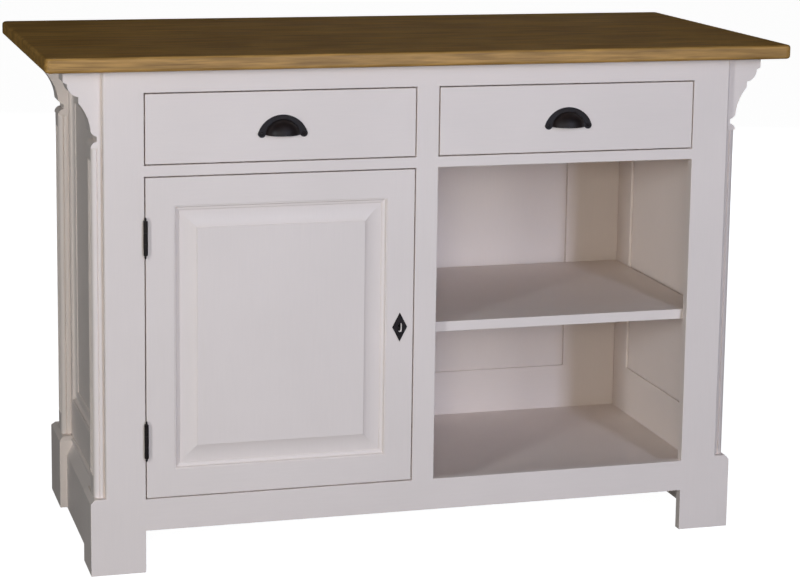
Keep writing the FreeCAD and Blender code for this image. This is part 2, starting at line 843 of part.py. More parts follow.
def make_hinges():
    """Two butt hinges: outer knuckles on the fixed leaf, a middle one on the door's leaf."""
    third = hinge_knuckle_height / 3
    bore_radius = hinge_pin_radius + hinge_pin_play
    fixed = []
    moving = []
    pins = []
    for number, low in enumerate(hinge_lows):
        tag = "hinge_%d_" % number
        bore = cylinder(tag + "bore", hinge_x, hinge_y, low, bore_radius, hinge_knuckle_height)
        reach = front - hinge_y
        outer = []
        for part, z in (("low", low), ("high", low + 2 * third)):
            outer.append(cylinder(tag + part + "_knuckle", hinge_x, hinge_y, z,
                                  hinge_knuckle_radius, third))
            outer.append(board(tag + part + "_web", bay_left - hinge_leaf_thick, hinge_y, z,
                               hinge_leaf_thick, reach, third))
        leaf = board(tag + "fixed_leaf", bay_left - hinge_leaf_thick, front, low,
                     hinge_leaf_thick, hinge_leaf_width, hinge_knuckle_height)
        fixed.append(cut(tag + "fixed", fuse(tag + "fixed", leaf, *outer), bore))
        middle_z = low + third + hinge_segment_play
        middle_height = third - 2 * hinge_segment_play
        knuckle = cylinder(tag + "middle_knuckle", hinge_x, hinge_y, middle_z,
                           hinge_knuckle_radius, middle_height)
        web = board(tag + "middle_web", door_left, hinge_y, middle_z,
                    hinge_leaf_thick, reach, middle_height)
        leaf = board(tag + "door_leaf", door_left, front, low,
                     hinge_leaf_thick, hinge_leaf_width, hinge_knuckle_height)
        moving.append(cut(tag + "moving", fuse(tag + "moving", leaf, knuckle, web), bore))
        pins.append(hinge_pin(tag + "pin", low))
    keep("hinge_leaves_frame", group("hinge_leaves_frame", *fixed))
    keep("hinge_leaves_door", group("hinge_leaves_door", *moving))
    keep("hinge_pins", group("hinge_pins", *pins))


def hinge_pin(name, low):
    """A turned pin with a collar and a ball at each end; the ball's neck is half its width."""
    body = new_body(name, hinge_x, hinge_y, low)
    sketch = new_sketch(body, "XZ")
    shaft = hinge_pin_radius
    collar = hinge_collar_height
    ball = hinge_ball_radius

    def end(sign, base):
        """Half outline of one finial, from the shaft out to the tip."""
        centre = base + (collar + ball * math.sqrt(0.75)) * sign
        return [(shaft, base),
                (hinge_knuckle_radius * 0.8, base),
                (hinge_knuckle_radius * 0.8, base + collar * sign),
                (ball / 2, base + collar * sign),
                (ball, centre),
                (floor, centre + ball * sign)]

    l0, l1, l2, l3, l4, l5 = end(-1, floor)
    u0, u1, u2, u3, u4, u5 = end(1, hinge_knuckle_height)
    draw(sketch, l5, (l4, l3), l2, l1, l0, u0, u1, u2, u3, (u4, u5))
    doc.recompute()
    turned = body.newObject("PartDesign::Revolution", name + "_revolution")
    turned.Profile = sketch
    turned.ReferenceAxis = (sketch, ["V_Axis"])
    turned.Angle = 360
    body.Tip = turned
    doc.recompute()
    return body


def make_door(hinge_recesses, lock_pocket):
    low_in = door_low + door_frame_width
    high_in = door_high - door_frame_width
    left_in = door_left + door_frame_width
    right_in = door_right - door_frame_width
    tall = door_high - door_low
    groove_y = front + door_panel_depth
    groove = board("door_groove", left_in - groove_depth, groove_y - groove_play,
                   low_in - groove_depth, right_in - left_in + 2 * groove_depth,
                   panel_thick + 2 * groove_play, high_in - low_in + 2 * groove_depth)
    hinge_stile = cut("door_stile_hinge",
                      board("door_stile_hinge", door_left, front, door_low,
                            door_frame_width, door_thick, tall),
                      groove, *hinge_recesses)
    keyway = keyhole("door_keyway", front, door_thick)
    lock_stile = cut("door_stile_lock",
                     board("door_stile_lock", right_in, front, door_low,
                           door_frame_width, door_thick, tall),
                     groove, lock_pocket, keyway)
    keep("door_stiles", group("door_stiles", hinge_stile, lock_stile))
    rails = []
    for where, z in (("top", high_in), ("bottom", door_low)):
        name = "door_rail_" + where
        rail = board(name, left_in, front, z, right_in - left_in, door_thick, door_frame_width)
        rails.append(cut(name, rail, groove))
    keep("door_rails", group("door_rails", *rails))
    make_door_panel(left_in, low_in, right_in - left_in, high_in - low_in)
    keep("door_moulding", moulding_ring(
        "door_moulding", door_mould_width, door_panel_depth - door_mould_drop,
        right_in - left_in, high_in - low_in, left_in, groove_y, low_in))


def make_door_panel(x, z, wide, tall):
    """A raised and fielded panel: tongue, bevel, small upright step and flat field."""
    body = new_body("door_panel", x, front + door_panel_depth, z)
    reach = groove_depth - groove_play
    tongue = new_sketch(body, "XZ")
    rectangle(tongue, -reach, -reach, wide + reach, tall + reach)
    pad(body, tongue, panel_thick, reverse=True)
    margin = door_field_margin
    step_depth = door_panel_depth - door_field_depth - door_field_step
    foot = new_sketch(body, "XZ")
    rectangle(foot, door_mould_width + door_mould_drop, door_mould_width + door_mould_drop,
              wide - door_mould_width - door_mould_drop, tall - door_mould_width - door_mould_drop)
    brow = new_sketch(body, "XZ", offset=(floor, floor, step_depth))
    rectangle(brow, margin, margin, wide - margin, tall - margin)
    doc.recompute()
    bevel = body.newObject("PartDesign::AdditiveLoft", "door_panel_bevel")
    bevel.Profile = foot
    bevel.Sections = [brow]
    bevel.Ruled = True
    body.Tip = bevel
    doc.recompute()
    field = new_sketch(body, "XZ", offset=(floor, floor, step_depth))
    rectangle(field, margin, margin, wide - margin, tall - margin)
    pad(body, field, door_field_step)
    keep("door_panel", body)


def keyhole(name, y, depth):
    """A round hole with a slot below it, run along Y."""
    bore = cylinder(name + "_bore", key_x, y, lock_z, key_radius, depth, axis=(1, 0, 0), turn=-90)
    slot = board(name + "_slot", key_x - key_slot_width / 2, y, lock_z - key_slot_length,
                 key_slot_width, depth, key_slot_length)
    return fuse(name, bore, slot)


def make_lock():
    """A cut-in lock: a case with a channel, and the bolt that slides out of it."""
    case_x = door_right - lock_width
    case_y = front + door_thick - lock_thick
    case = board("lock_case", case_x, case_y, lock_z - lock_height / 2,
                 lock_width, lock_thick, lock_height)
    bolt_y = case_y + (lock_thick - bolt_thick) / 2
    bolt_x = door_right - bolt_length
    channel = board("lock_channel", bolt_x - bolt_play, bolt_y - bolt_play,
                    lock_z - bolt_height / 2 - bolt_play, bolt_length + 2 * bolt_play,
                    bolt_thick + 2 * bolt_play, bolt_height + 2 * bolt_play)
    keyway = keyhole("lock_keyway", case_y, (lock_thick - bolt_thick) / 2)
    keep("lock_case", cut("lock_case", case, channel, keyway))
    keep("lock_bolt", board("lock_bolt", bolt_x, bolt_y, lock_z - bolt_height / 2,
                            bolt_length, bolt_thick, bolt_height))
    return bolt_y


def lock_cavities():
    """The pocket in the door stile and the mortise in the centre stile."""
    case_y = front + door_thick - lock_thick
    pocket = board("lock_pocket", door_right - lock_width - lock_play, case_y - lock_play,
                   lock_z - lock_height / 2 - lock_play, lock_width + 2 * lock_play,
                   lock_thick + 2 * lock_play, lock_height + 2 * lock_play)
    bolt_y = case_y + (lock_thick - bolt_thick) / 2
    mortise = board("lock_mortise", bay_right - mortise_play, bolt_y - mortise_play,
                    lock_z - bolt_height / 2 - mortise_play, bolt_throw + 2 * mortise_play,
                    bolt_thick + 2 * mortise_play, bolt_height + 2 * mortise_play)
    return pocket, mortise


def make_escutcheon():
    """A kite-shaped key plate with straight sides, pierced by the keyhole."""
    body = new_body("escutcheon", key_x, front, lock_z)
    sketch = new_sketch(body, "XZ")
    wide = plate_half_width
    tall = plate_half_height
    draw(sketch, (floor, tall), (wide, floor), (floor, -tall), (-wide, floor))
    pad(body, sketch, plate_thick)
    keep("escutcheon", cut("escutcheon", body, keyhole("plate_keyway", front - 2 * plate_thick,
                                                       3 * plate_thick)))


# ------------------------------------------------------------------ drawers
def make_drawers():
    low_x = bay_left + drawer_gap
    high_x = bay_right - drawer_gap
    low_z = drawer_bottom + drawer_gap
    front_wide = high_x - low_x
    front_tall = drawer_opening_height - 2 * drawer_gap
    face = board("drawer_front", low_x, front, low_z, front_wide, drawer_front_thick, front_tall)
    box_y = front + drawer_front_thick
    box_z = drawer_bottom + drawer_seat_play
    box_left = low_x + drawer_side_inset
    box_right = high_x - drawer_side_inset
    panel_z = box_z + drawer_bottom_raise
    grip = drawer_groove_depth
    groove = board("drawer_groove", box_left + drawer_side_thick - grip, box_y - grip,
                   panel_z - groove_play,
                   box_right - box_left - 2 * (drawer_side_thick - grip),
                   drawer_box_length - drawer_side_thick + 2 * grip,
                   drawer_bottom_thick + 2 * groove_play)
    keep_pair("drawer_%s_front", cut("drawer_front", face, groove))
    sides = []
    for name, x in (("outer", box_left), ("inner", box_right - drawer_side_thick)):
        cheek = board("drawer_side_" + name, x, box_y, box_z,
                      drawer_side_thick, drawer_box_length, drawer_side_height)
        sides.append(cut("drawer_side_" + name, cheek, groove))
    keep_pair("drawer_%s_sides", group("drawer_sides", *sides))
    tail = board("drawer_tail", box_left + drawer_side_thick,
                 box_y + drawer_box_length - drawer_side_thick, box_z,
                 box_right - box_left - 2 * drawer_side_thick, drawer_side_thick,
                 drawer_side_height)
    keep_pair("drawer_%s_back", cut("drawer_back", tail, groove))
    reach = grip - groove_play
    bottom = board("drawer_base", box_left + drawer_side_thick - reach, box_y - reach, panel_z,
                   box_right - box_left - 2 * (drawer_side_thick - reach),
                   drawer_box_length - drawer_side_thick + 2 * reach, drawer_bottom_thick)
    keep_pair("drawer_%s_bottom", bottom)
    pull = make_cup_pull((low_x + high_x) / 2, low_z + front_tall / 2)
    keep_pair("drawer_%s_pull", pull)


def half_shell(name, x, z, inset):
    """The outer or inner surface of the cup, as a whole ellipsoid about the lip's middle."""
    ball = doc.addObject("Part::Ellipsoid", name)
    bind(ball, "Radius1", cup_rise - inset)
    bind(ball, "Radius2", cup_half_width - inset)
    bind(ball, "Radius3", cup_reach - inset)
    place(ball, x, front, z)
    return ball


def make_cup_pull(x, z):
    """A cup pull: a half-dome open below, on a flat arched flange with two screw lobes."""
    lip_z = z - cup_lip_drop
    outer = half_shell("cup_outer", x, lip_z, as_size(0))
    inner = half_shell("cup_inner", x, lip_z, cup_wall)
    window = board("cup_window", x - cup_half_width, front - cup_reach, lip_z,
                   2 * cup_half_width, cup_reach, cup_rise)
    dome = doc.addObject("Part::Common", "cup_dome")
    dome.Base = outer
    dome.Tool = window

    flange = new_body("cup_flange", x, front, z)
    sketch = new_sketch(flange, "XZ")
    wide = pull_half_width
    tall = pull_half_height
    lobe = pull_lobe_radius
    lobe_x = wide - lobe
    lobe_z = lobe - tall
    inner_x = lobe_x - lobe
    draw(sketch,
         (wide, lobe_z),
         ((floor, tall), (-wide, lobe_z)),
         ((-lobe_x, -tall), (-inner_x, lobe_z)),
         (inner_x, lobe_z),
         ((lobe_x, -tall), (wide, lobe_z)))
    pad(flange, sketch, pull_plate_thick)

    holes = []
    for name, dx, dz in (("left", -lobe_x, lobe_z), ("right", lobe_x, lobe_z)):
        holes.append(cylinder("pull_hole_" + name, x + dx, front - 2 * pull_plate_thick, z + dz,
                              pull_screw_radius, 3 * pull_plate_thick, axis=(1, 0, 0), turn=-90))
    return cut("cup_pull", fuse("cup_pull", dome, flange), inner, *holes)


# ------------------------------------------------------------------ assembly and writing
def build():
    frame_recesses = []
    door_recesses = []
    for number, low in enumerate(hinge_lows):
        frame_recesses.append(hinge_recess("frame_recess_%d" % number,
                                           bay_left - hinge_leaf_thick - hinge_leaf_play, low))
        door_recesses.append(hinge_recess("door_recess_%d" % number, door_left, low))
    pocket, mortise = lock_cavities()
    make_worktop()
    make_face_frame(frame_recesses, mortise)
    make_side()
    make_back()
    make_plinth()
    make_pilasters_and_corbels()
    make_inside()
    make_runners()
    make_hinges()
    make_door(door_recesses, pocket)
    make_lock()
    make_escutcheon()
    make_drawers()
    doc.recompute()


def check():
    """Stop before anything is written if an object failed or a shape is unsound."""
    for thing in doc.Objects:
        if {"Invalid", "Error"} & set(thing.State):
            raise RuntimeError("%s failed: %s" % (thing.Label, thing.State))
    for label, thing in parts.items():
        shape = thing.Shape
        if shape.isNull() or not shape.isValid() or not shape.Solids:
            raise RuntimeError("%s has no sound solid" % label)


def write():
    os.makedirs("parts", exist_ok=True)
    for label, thing in parts.items():
        thing.Shape.exportStep("parts/%s.step" % label)


build()
check()
write()
print("%d pieces" % len(parts))
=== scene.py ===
"""Kitchen island unit: looks, small fittings, light and camera round the fixed frame."""
import json
import math

import bmesh
import bpy
from mathutils import Matrix, Vector


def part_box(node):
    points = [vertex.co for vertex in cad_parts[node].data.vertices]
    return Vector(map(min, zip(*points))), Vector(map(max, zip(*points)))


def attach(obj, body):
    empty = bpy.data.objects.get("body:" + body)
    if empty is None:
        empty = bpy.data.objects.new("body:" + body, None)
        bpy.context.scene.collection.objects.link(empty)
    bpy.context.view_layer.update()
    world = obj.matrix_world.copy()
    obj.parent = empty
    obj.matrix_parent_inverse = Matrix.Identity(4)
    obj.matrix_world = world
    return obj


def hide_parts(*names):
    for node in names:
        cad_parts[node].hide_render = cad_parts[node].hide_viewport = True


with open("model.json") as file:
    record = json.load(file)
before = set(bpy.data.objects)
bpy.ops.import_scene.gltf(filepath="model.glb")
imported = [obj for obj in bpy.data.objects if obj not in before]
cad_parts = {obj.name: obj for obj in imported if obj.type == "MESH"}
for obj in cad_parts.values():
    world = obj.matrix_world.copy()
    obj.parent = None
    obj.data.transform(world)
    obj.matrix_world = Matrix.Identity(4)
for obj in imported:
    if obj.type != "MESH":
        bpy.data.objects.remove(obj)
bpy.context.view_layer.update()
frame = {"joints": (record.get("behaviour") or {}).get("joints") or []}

scene = bpy.context.scene


# ------------------------------------------------------------------ node helpers
class Tree:
    """A material's node tree, with short calls for the nodes used here."""

    def __init__(self, name):
        self.material = bpy.data.materials.new(name)
        self.material.use_nodes = True
        self.nodes = self.material.node_tree.nodes
        self.links = self.material.node_tree.links
        self.shader = self.nodes["Principled BSDF"]

    def add(self, kind, **inputs):
        node = self.nodes.new("ShaderNode" + kind)
        for key, value in inputs.items():
            self.feed(node.inputs[key.replace("_", " ")], value)
        return node

    def feed(self, socket, value):
        if hasattr(value, "is_output"):
            self.links.new(value, socket)
        else:
            socket.default_value = value

    def place(self, scale):
        """Object coordinates in metres, stretched by scale."""
        coords = self.add("TexCoord").outputs["Object"]
        return self.add("Mapping", Vector=coords, Scale=scale).outputs["Vector"]

    def noise(self, vector, scale, detail=4.0, roughness=0.5, distortion=0.0):
        node = self.add("TexNoise", Vector=vector, Scale=scale, Detail=detail,
                        Roughness=roughness, Distortion=distortion)
        return node.outputs["Fac"]

    def ramp(self, value, *stops):
        """Map a value through (position, colour or grey) stops."""
        node = self.add("ValToRGB", Fac=value)
        points = node.color_ramp.elements
        while len(points) < len(stops):
            points.new(0.5)
        for point, (position, tone) in zip(points, stops):
            point.position = position
            point.color = (*tone, 1) if isinstance(tone, tuple) else (tone, tone, tone, 1)
        return node.outputs["Color"]

    def mix(self, factor, first, second):
        node = self.nodes.new("ShaderNodeMix")
        node.data_type = "RGBA"
        for socket, value in zip((node.inputs[0], node.inputs[6], node.inputs[7]),
                                 (factor, first, second)):
            if isinstance(value, tuple):
                value = (*value, 1)
            self.feed(socket, value)
        return node.outputs[2]

    def maths(self, operation, first, second=0.0, third=0.0):
        node = self.nodes.new("ShaderNodeMath")
        node.operation = operation
        for socket, value in zip(node.inputs, (first, second, third)):
            self.feed(socket, value)
        return node.outputs[0]

    def bump(self, height, strength, distance, normal=None):
        node = self.add("Bump", Height=height, Strength=strength, Distance=distance)
        if normal is not None:
            self.feed(node.inputs["Normal"], normal)
        return node.outputs["Normal"]

    def finish(self, **inputs):
        for key, value in inputs.items():
            self.feed(self.shader.inputs[key.replace("_", " ")], value)
        return self.material


GRAIN_SCALES = {"x": (3, 60, 60), "y": (60, 3, 60), "z": (60, 60, 3)}


def paint_material(name, grain):
    """Off-white eggshell paint, brushed along the grain."""
    tree = Tree(name)
    along = tree.place(GRAIN_SCALES[grain])
    brush = tree.noise(along, 6.0, 5.0, 0.6)
    even = tree.place((1, 1, 1))
    cloud = tree.noise(even, 5.0, 3.0)
    orange_peel = tree.noise(even, 900.0, 2.0)
    tint = tree.ramp(cloud, (0.3, (0.785, 0.696, 0.638)), (0.7, (0.823, 0.729, 0.670)))
    strokes = tree.ramp(brush, (0.3, (0.74, 0.655, 0.600)), (0.7, (0.865, 0.770, 0.708)))
    colour = tree.mix(0.12, tint, strokes)
    normal = tree.bump(brush, 0.07, 0.0004)
    normal = tree.bump(orange_peel, 0.05, 0.0002, normal)
    rough = tree.ramp(brush, (0.3, 0.42), (0.7, 0.54))
    return tree.finish(Base_Color=colour, Roughness=rough, Normal=normal)


BOARD_WIDTH = 0.106
BOARD_SHIFT = 9.0


def oak_material(name, dark, light):
    """Stained boards glued side by side along X, each with its own figure."""
    tree = Tree(name)
    coords = tree.add("TexCoord").outputs["Object"]
    split = tree.add("SeparateXYZ", Vector=coords)
    row = tree.maths("FLOOR", tree.maths("DIVIDE", split.outputs["Y"], BOARD_WIDTH))
    chance = tree.add("TexWhiteNoise", Vector=tree.add("CombineXYZ", X=row).outputs["Vector"])
    shift = tree.add("VectorMath", Vector=chance.outputs["Color"])
    shift.operation = "SCALE"
    tree.feed(shift.inputs["Scale"], BOARD_SHIFT)
    moved = tree.nodes.new("ShaderNodeVectorMath")
    moved.operation = "ADD"
    tree.feed(moved.inputs[0], coords)
    tree.feed(moved.inputs[1], shift.outputs["Vector"])
    own = moved.outputs["Vector"]
    stretched = tree.add("Mapping", Vector=own, Scale=(1.1, 26, 26)).outputs["Vector"]
    fine = tree.add("Mapping", Vector=own, Scale=(9, 420, 420)).outputs["Vector"]
    short = tree.add("Mapping", Vector=own, Scale=(9, 44, 110)).outputs["Vector"]
    rings = tree.noise(stretched, 1.6, 3.0, 0.5, 0.6)
    bands = tree.maths("PINGPONG", tree.maths("MULTIPLY", rings, 9.0), 1.0)
    fibre = tree.noise(stretched, 6.0, 8.0, 0.65)
    pores = tree.noise(fine, 1.0, 3.0, 0.6)
    base = tree.mix(tree.ramp(fibre, (0.25, 0.0), (0.75, 1.0)), dark, light)
    ringed = tree.mix(tree.ramp(bands, (0.0, 0.0), (1.0, 0.34)), base,
                      tuple(c * 0.62 for c in dark))
    pored = tree.mix(tree.ramp(pores, (0.30, 0.5), (0.46, 0.0)), ringed,
                     tuple(c * 0.35 for c in dark))
    streaks = tree.noise(short, 1.0, 3.0, 0.55)
    streaked = tree.mix(tree.ramp(streaks, (0.38, 0.50), (0.60, 0.0)), pored,
                        tuple(c * 0.45 for c in dark))
    tone = tree.maths("MULTIPLY_ADD", chance.outputs["Value"], 0.16, 0.92)
    toned = tree.add("HueSaturation", Value=tone, Color=streaked).outputs["Color"]
    normal = tree.bump(fibre, 0.15, 0.0006)
    normal = tree.bump(pores, 0.18, 0.0003, normal)
    return tree.finish(Base_Color=toned, Roughness=tree.ramp(fibre, (0.3, 0.38), (0.7, 0.50)),
                       Normal=normal, Specular_IOR_Level=0.3)


def pine_material(name, grain):
    """Bare sanded pine for the drawer boxes and runners."""
    scale = {"x": (1.5, 30, 30), "y": (30, 1.5, 30)}[grain]
    tree = Tree(name)
    along = tree.place(scale)
    rings = tree.noise(along, 1.4, 3.0, 0.5, 0.5)
    bands = tree.maths("PINGPONG", tree.maths("MULTIPLY", rings, 11.0), 1.0)
    fibre = tree.noise(along, 9.0, 6.0, 0.6)
    early = tree.mix(fibre, (0.62, 0.43, 0.24), (0.72, 0.54, 0.33))
    colour = tree.mix(tree.ramp(bands, (0.55, 0.0), (1.0, 0.55)), early, (0.47, 0.28, 0.13))
    normal = tree.bump(fibre, 0.12, 0.0004)
    return tree.finish(Base_Color=colour, Roughness=0.62, Normal=normal)


def black_iron_material(name):
    """Blackened cast metal: a satin skin, a slightly pitted surface."""
    tree = Tree(name)
    even = tree.place((1, 1, 1))
    pits = tree.noise(even, 420.0, 4.0, 0.6)
    cloud = tree.noise(even, 60.0, 3.0)
    colour = tree.ramp(cloud, (0.35, (0.0085, 0.0050, 0.0048)), (0.7, (0.0165, 0.0105, 0.0098)))
    normal = tree.bump(pits, 0.4, 0.0004)
    return tree.finish(Base_Color=colour, Roughness=tree.ramp(cloud, (0.3, 0.38), (0.7, 0.56)),
                       Specular_IOR_Level=0.24, Normal=normal)


def steel_material(name, colour):
    """Plain steel, drawn along Z."""
    tree = Tree(name)
    lines = tree.noise(tree.place((600, 600, 12)), 3.0, 3.0)
    even = tree.place((1, 1, 1))
    stain = tree.noise(even, 40.0, 4.0)
    tint = tree.mix(tree.ramp(stain, (0.4, 0.0), (0.8, 0.35)), colour,
                    tuple(c * 0.6 for c in colour))
    normal = tree.bump(lines, 0.1, 0.0001)
    roughness = tree.ramp(stain, (0.3, 0.32), (0.8, 0.48))
    return tree.finish(Base_Color=tint, Roughness=roughness, Metallic=1.0, Normal=normal)


FLOOR_GLOW = 0.97


def floor_material(name):
    """The pale studio floor and wall, with a glow of their own."""
    tree = Tree(name)
    mottle = tree.noise(tree.place((1, 1, 1)), 1.3, 3.0)
    colour = tree.ramp(mottle, (0.3, 0.30), (0.7, 0.31))
    return tree.finish(Base_Color=colour, Roughness=0.9, Specular_IOR_Level=0.1,
                       Emission_Color=(1.0, 1.0, 1.0, 1), Emission_Strength=FLOOR_GLOW)


PAINT = {axis: paint_material("paint_along_" + axis, axis) for axis in "xyz"}
OAK = oak_material("stained_oak", (0.385, 0.202, 0.048), (0.69, 0.400, 0.120))
PINE = {axis: pine_material("pine_along_" + axis, axis) for axis in "xy"}
IRON = black_iron_material("black_iron")
STEEL = steel_material("plain_steel", (0.56, 0.56, 0.57))

PAINTED = {
    "x": """face_rail_top face_rails_middle face_rail_bottom plinth_rail_back back_rails
            floor_board shelf_open_bay shelf_cupboard door_rails drawer_left_front
            drawer_right_front corbel_front_left corbel_front_right corbel_rear_left
            corbel_rear_right""",
    "y": "side_left_rails side_right_rails plinth_rail_left plinth_rail_right",
    "z": """face_stile_left face_stile_right face_stile_centre side_left_stiles
            side_right_stiles side_left_panel side_right_panel side_left_moulding
            side_right_moulding plinth_block_front_left plinth_block_front_right
            plinth_block_rear_left plinth_block_rear_right pilaster_front_left
            pilaster_front_right pilaster_rear_left pilaster_rear_right back_stiles
            back_panels partition door_stiles door_panel door_moulding""",
}
BARE = {
    "x": "drawer_left_back drawer_right_back drawer_left_bottom drawer_right_bottom",
    "y": "drawer_runners drawer_kickers drawer_left_sides drawer_right_sides",
}


def finish_node(node, material):
    """Give a carried-over solid its material."""
    for slot in bpy.data.objects[node].material_slots:
        slot.material = material


for axis, names in PAINTED.items():
    for node in names.split():
        finish_node(node, PAINT[axis])
for axis, names in BARE.items():
    for node in names.split():
        finish_node(node, PINE[axis])
for node in ("hinge_leaves_frame", "hinge_leaves_door", "hinge_pins", "escutcheon",
             "drawer_left_pull", "drawer_right_pull"):
    finish_node(node, IRON)
for node in ("shelf_pins", "lock_case", "lock_bolt"):
    finish_node(node, STEEL)
finish_node("worktop", OAK)


# ------------------------------------------------------------------ mesh helpers
WELD = 1e-6
ARRIS = 0.0008
FLAT_ANGLE = math.radians(0.5)
ARRIS_ANGLE = math.radians(35)
SHARP_ANGLE = math.radians(38)


def link(name, mesh, *materials):
    """A new object at the origin for a finished bmesh."""
    data = bpy.data.meshes.new(name)
    mesh.to_mesh(data)
    mesh.free()
    for material in materials:
        data.materials.append(material)
    obj = bpy.data.objects.new(name, data)
    scene.collection.objects.link(obj)
    return obj


def loose(name, node, material):
    """A copy of one solid's faces with its doubled corners welded."""
    source = bpy.data.objects[node].data
    mesh = bmesh.new()
    corners = [mesh.verts.new(corner.co) for corner in source.vertices]
    for face in source.polygons:
        mesh.faces.new([corners[i] for i in face.vertices])
    bmesh.ops.remove_doubles(mesh, verts=mesh.verts, dist=WELD)
    return link(name, mesh, material)


def combine(obj, operation, *others):
    """Join or cut obj with the others, which are used up."""
    for other in others:
        step = obj.modifiers.new("combine", "BOOLEAN")
        step.operation = operation
        step.solver = "EXACT"
        step.material_mode = "TRANSFER"
        step.object = other
    bpy.context.view_layer.update()
    graph = bpy.context.evaluated_depsgraph_get()
    finished = bpy.data.meshes.new_from_object(obj.evaluated_get(graph))
    obj.modifiers.clear()
    obj.data = finished
    for other in others:
        bpy.data.objects.remove(other)
    return obj


def ease(obj, width=ARRIS, shortest=0.004):
    """Dissolve flat seams, then round the long arrises."""
    mesh = bmesh.new()
    mesh.from_mesh(obj.data)
    bmesh.ops.remove_doubles(mesh, verts=mesh.verts, dist=WELD)
    bmesh.ops.dissolve_limit(mesh, angle_limit=FLAT_ANGLE, verts=mesh.verts,
                             edges=mesh.edges, delimit={"MATERIAL"})
    arrises = [edge for edge in mesh.edges
               if len(edge.link_faces) == 2 and edge.is_convex
               and edge.calc_face_angle() > ARRIS_ANGLE and edge.calc_length() > shortest]
    bmesh.ops.bevel(mesh, geom=arrises, offset=width, segments=2, profile=0.5,
                    affect="EDGES", clamp_overlap=False, material=-1)
    mesh.to_mesh(obj.data)
    mesh.free()
    return obj


def merged(name, objects):
    """Put several meshes into one object without joining their surfaces."""
    mesh = bmesh.new()
    for obj in objects:
        mesh.from_mesh(obj.data)
    piece = link(name, mesh, objects[0].data.materials[0])
    for obj in objects:
        bpy.data.objects.remove(obj)
    return piece


def exact(value):
    """A length from the frame without its single-precision noise."""
    return round(value, 6)


def centre_of(node):
    """The middle of a solid's box."""
    return [exact((low + high) / 2) for low, high in zip(*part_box(node))]


def seat(obj, body, slot, *nodes):
    """Let obj ride on a body and stand for some of its solids; the slot, a finish's name, is not
    used.
    """
    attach(obj, body)
    if nodes:
        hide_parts(*nodes)
    return obj


def lathe(name, material, profile, place, axis, steps=32):
    """Turn (radius, height) points about an axis that starts at place."""
    mesh = bmesh.new()
    rings = []
    for radius, height in profile:
        if radius == 0:
            rings.append([mesh.verts.new((0, 0, height))])
            continue
        turn = [2 * math.pi * i / steps for i in range(steps)]
        rings.append([mesh.verts.new((radius * math.cos(a), radius * math.sin(a), height))
                      for a in turn])
    for low, high in zip(rings, rings[1:]):
        for i in range(steps):
            j = (i + 1) % steps
            corners = [low[i % len(low)], low[j % len(low)], high[j % len(high)],
                       high[i % len(high)]]
            face = list(dict.fromkeys(corners))
            mesh.faces.new(face)
    for ring, flip in ((rings[0], True), (rings[-1], False)):
        if len(ring) > 1:
            mesh.faces.new(ring[::-1] if flip else ring)
    turned = Vector(axis).to_track_quat("Z", "Y").to_matrix().to_4x4()
    bmesh.ops.transform(mesh, matrix=Matrix.Translation(place) @ turned, verts=mesh.verts)
    bmesh.ops.recalc_face_normals(mesh, faces=mesh.faces)
    for face in mesh.faces:
        face.smooth = True
    obj = link(name, mesh, material)
    obj.data.set_sharp_from_angle(angle=SHARP_ANGLE)
    return obj


def block(name, material, low, high, turn):
    """A cutter between two corners, turned by a matrix about its middle."""
    mesh = bmesh.new()
    bmesh.ops.create_cube(mesh, size=1)
    middle = (Vector(low) + Vector(high)) / 2
    size = Vector(high) - Vector(low)
    stretch = Matrix.Diagonal((*size, 1))
    bmesh.ops.transform(mesh, matrix=Matrix.Translation(middle) @ turn @ stretch, verts=mesh.verts)
    return link(name, mesh, material)


def prism(name, material, outline, y_low, y_high):
    """An outline of (x, z) points run along Y."""
    mesh = bmesh.new()
    near = [mesh.verts.new((x, y_low, z)) for x, z in outline]
    far = [mesh.verts.new((x, y_high, z)) for x, z in outline]
    mesh.faces.new(near)
    mesh.faces.new(far[::-1])
    for i in range(len(near)):
        j = (i + 1) % len(near)
        mesh.faces.new((near[j], near[i], far[i], far[j]))
    bmesh.ops.recalc_face_normals(mesh, faces=mesh.faces)
    return link(name, mesh, material)


def screw(name, material, place, axis, radius, rise, turn):
    """A round screw head with a slot, its seat at place."""
    profile = [(radius * 0.55, -rise * 0.6), (radius, -rise * 0.05), (radius, rise * 0.15)]
    for step in range(1, 6):
        angle = math.radians(18 * step)
        profile.append((radius * math.cos(angle) if step < 5 else 0,
                        rise * (0.15 + 0.85 * math.sin(angle))))
    head = lathe(name, material, profile, place, axis)
    tip = Vector(place) + Vector(axis) * rise
    aim = Vector(axis).to_track_quat("Z", "Y").to_matrix().to_4x4()
    spin = Matrix.Rotation(math.radians(turn), 4, "Z")
    half = Vector((radius * 1.2, radius * 0.14, rise * 0.5))
    slot_cut = block(name + "_slot", material, tip - half, tip + half, aim @ spin)
    return combine(head, "DIFFERENCE", slot_cut)


def slot_outline(x, z, half_width, top, bottom):
    """A round-ended upright slot as (x, z) points, its ends given from z."""
    steps = 10
    points = []
    for centre, start in ((top - half_width, 0), (bottom + half_width, 180)):
        for i in range(steps + 1):
            angle = math.radians(start + 180 * i / steps)
            points.append((x + half_width * math.cos(angle),
                           z + centre + half_width * math.sin(angle)))
    return points


# ------------------------------------------------------------------ joinery with eased arrises
DOOR_FACE = exact(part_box("door_stiles")[0][1])
KEY_X, _, KEY_Z = centre_of("escutcheon")
# Half width, top and bottom of the door's keyhole, its shift to the side and its depth.
KEY_HOLE = (0.0026, 0.0078, -0.0072)
KEY_BEND = 0.0006
KEY_DEPTH = 0.010


def key_slot(inset=0):
    """The door's keyhole as an outline, drawn in by an inset."""
    half_width, top, bottom = KEY_HOLE
    return slot_outline(KEY_X - KEY_BEND, KEY_Z, half_width - inset, top - inset, bottom + inset)


